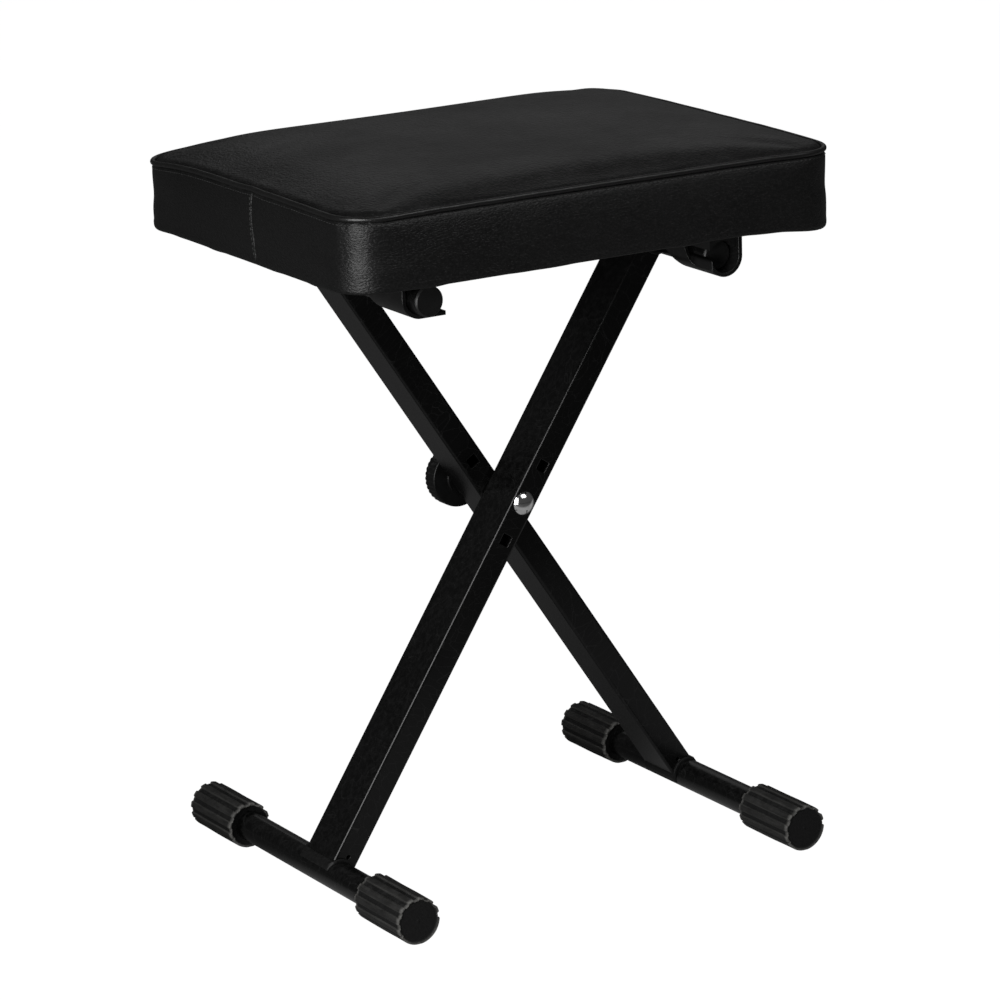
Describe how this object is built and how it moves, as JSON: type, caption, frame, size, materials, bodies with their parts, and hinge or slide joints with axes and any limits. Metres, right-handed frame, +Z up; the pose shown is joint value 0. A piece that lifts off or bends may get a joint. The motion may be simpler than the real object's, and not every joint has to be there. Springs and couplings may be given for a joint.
{
  "type": "piano bench",
  "caption": "Folding X-frame keyboard bench with a piped, padded box seat, square height holes, a knob on a carriage bolt and ribbed rubber feet.",
  "frame": {"origin": "on the floor, under the middle of the seat and of the four feet", "axes": "+Z up, +X along the long side of the seat towards the front leg's top, +Y from the front to the rear, where the knob is"},
  "size_m": [0.403, 0.317, 0.53],
  "materials": {
    "plywood": "sanded",
    "foam": "open-cell foam",
    "vinyl": "fine-grained satin vinyl",
    "lining": "non-woven",
    "zinc": "bright zinc plate",
    "powder_coat": "satin powder coat",
    "plug_plastic": "moulded",
    "nylon": "moulded",
    "foot_rubber": "matt, ribbed",
    "knob_plastic": "moulded, knurled",
    "brass_insert": "machined"
  },
  "bodies": {
    "front_frame": {"front_leg": "powder_coat", "front_leg_top_tube": "powder_coat", "front_leg_foot_tube": "powder_coat", "front_leg_welds": "powder_coat", "front_leg_plugs": "plug_plastic", "foot_cap_left_front": "foot_rubber", "foot_cap_left_rear": "foot_rubber", "carriage_bolt": "zinc", "leg_washer": "zinc"},
    "rear_frame": {"rear_leg": "powder_coat", "rear_leg_top_tube": "powder_coat", "rear_leg_foot_tube": "powder_coat", "rear_leg_welds": "powder_coat", "rear_leg_plugs": "plug_plastic", "foot_cap_right_front": "foot_rubber", "foot_cap_right_rear": "foot_rubber"},
    "seat": {"seat_board": "plywood", "seat_foam": "foam", "seat_top_panel": "vinyl", "seat_boxing": "vinyl", "seat_piping": "vinyl", "seat_lining": "lining", "cover_staples": "zinc", "tee_nuts": "zinc", "saddle_screws": "zinc", "hinge_saddle_front": "powder_coat", "hinge_saddle_rear": "powder_coat", "hook_saddle_front": "powder_coat", "hook_saddle_rear": "powder_coat", "hinge_pad_front": "nylon", "hinge_pad_rear": "nylon", "hook_pad_front": "nylon", "hook_pad_rear": "nylon"},
    "knob_washer": {"knob_washer": "zinc"},
    "knob": {"knob": "knob_plastic", "knob_nut": "brass_insert"}
  },
  "joints": [
    {"name": "scissor", "type": "hinge", "parent": "front_frame", "child": "rear_frame", "pos_m": [0, 0, 0.26767], "axis": [0, 1, 0], "range_deg": [0, 58.6]},
    {"name": "seat_swing", "type": "hinge", "parent": "front_frame", "child": "seat", "pos_m": [0.119, 0, 0.44865], "axis": [0, 1, 0], "range_deg": [0, 29.3]},
    {"name": "knob_travel", "type": "slide", "parent": "front_frame", "child": "knob_washer", "axis": [0, 1, 0], "range_m": [0, 0.00375]},
    {"name": "knob_turn", "type": "hinge", "parent": "knob_washer", "child": "knob", "pos_m": [0, 0.05, 0.26767], "axis": [0, 1, 0], "range_deg": [0, 1080]}
  ],
  "couplings": [
    {"joint": "seat_swing", "follows": "scissor", "ratio": 0.5},
    {"joint": "knob_travel", "follows": "knob_turn", "m_per_rad": 0.00019894}
  ]
}
